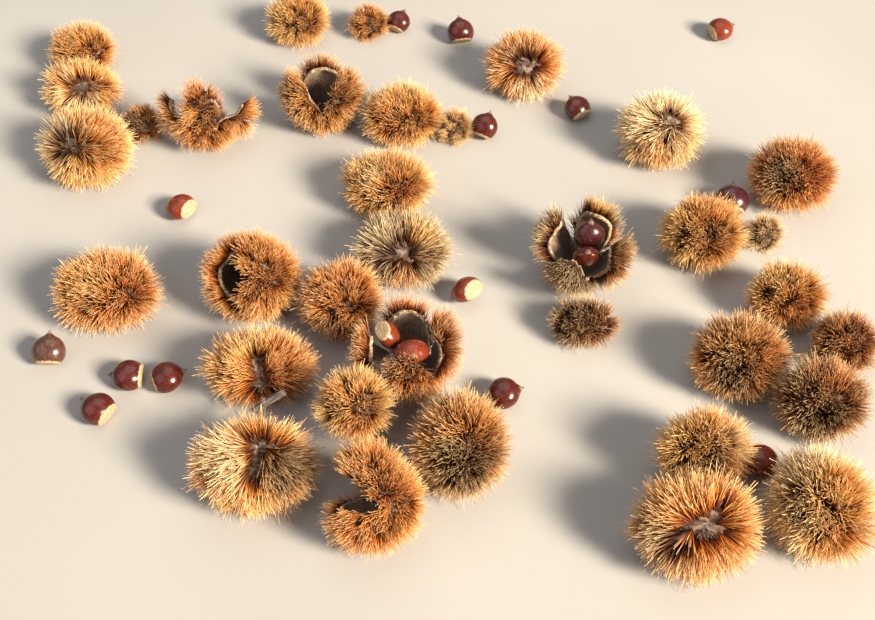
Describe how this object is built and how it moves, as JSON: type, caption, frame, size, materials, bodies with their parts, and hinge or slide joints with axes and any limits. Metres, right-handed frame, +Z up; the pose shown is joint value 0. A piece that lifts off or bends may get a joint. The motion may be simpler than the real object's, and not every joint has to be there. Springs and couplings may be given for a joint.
{
  "type": "sweet chestnut burs and nuts",
  "caption": "Spiny sweet chestnut burs, whole and split open, lying in a loose group with ripe glossy nuts between them and inside them.",
  "frame": {"origin": "on the ground, under the middle of the whole group's box", "axes": "+X along the group's longest side, +Y across it towards the back, +Z up from the ground"},
  "size_m": [0.748, 0.662, 0.0715],
  "materials": {
    "dry_husk": "dry golden brown husk, dense straight spines",
    "nut_shell": "glossy mahogany shell with a matt pale hilum",
    "woody_stalk": "dry grey bark"
  },
  "bodies": {
    "root": {"bur_back_left_1": "dry_husk", "bur_back_left_2": "dry_husk", "bur_back_left_3": "dry_husk", "bur_back_left_4": "dry_husk", "bur_back_middle_1": "dry_husk", "bur_back_middle_2": "dry_husk", "bur_back_middle_3": "dry_husk", "bur_back_middle_4": "dry_husk", "bur_back_middle_5": "dry_husk", "bur_back_middle_6": "dry_husk", "bur_back_right_1": "dry_husk", "bur_back_right_2": "dry_husk", "bur_back_right_3": "dry_husk", "bur_back_right_4": "dry_husk", "bur_back_right_5": "dry_husk", "bur_back_right_6": "dry_husk", "bur_front_left_1": "dry_husk", "bur_front_left_2": "dry_husk", "bur_front_left_3": "dry_husk", "bur_front_left_4": "dry_husk", "bur_front_right_1": "dry_husk", "bur_front_right_2": "dry_husk", "bur_front_right_3": "dry_husk", "bur_left": "dry_husk", "bur_middle": "dry_husk", "bur_right_1": "dry_husk", "bur_right_2": "dry_husk", "bur_right_3": "dry_husk", "bur_right_4": "dry_husk", "nut_back_left": "nut_shell", "nut_back_middle_1": "nut_shell", "nut_back_middle_2": "nut_shell", "nut_back_middle_3": "nut_shell", "nut_back_right_1": "nut_shell", "nut_back_right_2": "nut_shell", "nut_back_right_3": "nut_shell", "nut_front_right": "nut_shell", "nut_in_back_right_bur_1": "nut_shell", "nut_in_back_right_bur_2": "nut_shell", "nut_in_front_left_bur_1": "nut_shell", "nut_in_front_left_bur_2": "nut_shell", "nut_left_1": "nut_shell", "nut_left_2": "nut_shell", "nut_left_3": "nut_shell", "nut_left_4": "nut_shell", "nut_middle_1": "nut_shell", "nut_middle_2": "nut_shell", "open_bur_back_left": "dry_husk", "open_bur_back_middle": "dry_husk", "open_bur_back_right": "dry_husk", "open_bur_front_left_1": "dry_husk", "open_bur_front_left_2": "dry_husk", "open_bur_left": "dry_husk", "shared_stalk": "woody_stalk"}
  },
  "joints": []
}
